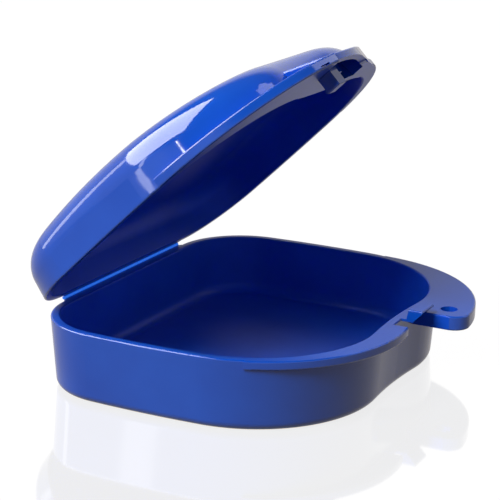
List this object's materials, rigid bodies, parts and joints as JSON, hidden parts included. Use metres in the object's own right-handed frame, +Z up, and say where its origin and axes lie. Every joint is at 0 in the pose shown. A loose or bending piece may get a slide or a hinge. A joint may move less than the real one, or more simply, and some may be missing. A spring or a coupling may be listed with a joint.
{
  "type": "retainer case",
  "caption": "Pocket case for a dental retainer: a shallow rounded tray and a domed lid on a living hinge, finger tabs and a snap catch at the front, lid standing half open.",
  "frame": {"origin": "on the table, under the middle of the tray", "axes": "+Z up, +Y towards the hinge at the back, +X along the hinge; the finger tabs and the catch are at -Y"},
  "size_m": [0.0832, 0.0822, 0.0705],
  "materials": {
    "case_plastic": "glossy",
    "web_plastic": "thin, lets light through"
  },
  "bodies": {
    "tray": {"tray_shell": "case_plastic", "tray_finger_tab": "case_plastic", "catch_keeper": "case_plastic", "tray_rim_ledge": "case_plastic", "tray_hinge_leaf": "case_plastic", "hinge_web": "web_plastic"},
    "lid": {"lid_shell": "case_plastic", "lid_finger_tab": "case_plastic", "lid_catch_hood": "case_plastic", "lid_rim_ledge": "case_plastic", "lid_hinge_leaf": "case_plastic", "lid_catch_hook": "case_plastic"}
  },
  "joints": [
    {"name": "lid_hinge", "type": "hinge", "parent": "tray", "child": "lid", "pos_m": [0, 0.03425, 0.01515], "axis": [-1, 0, 0], "range_deg": [-43.6, 136.4]}
  ]
}
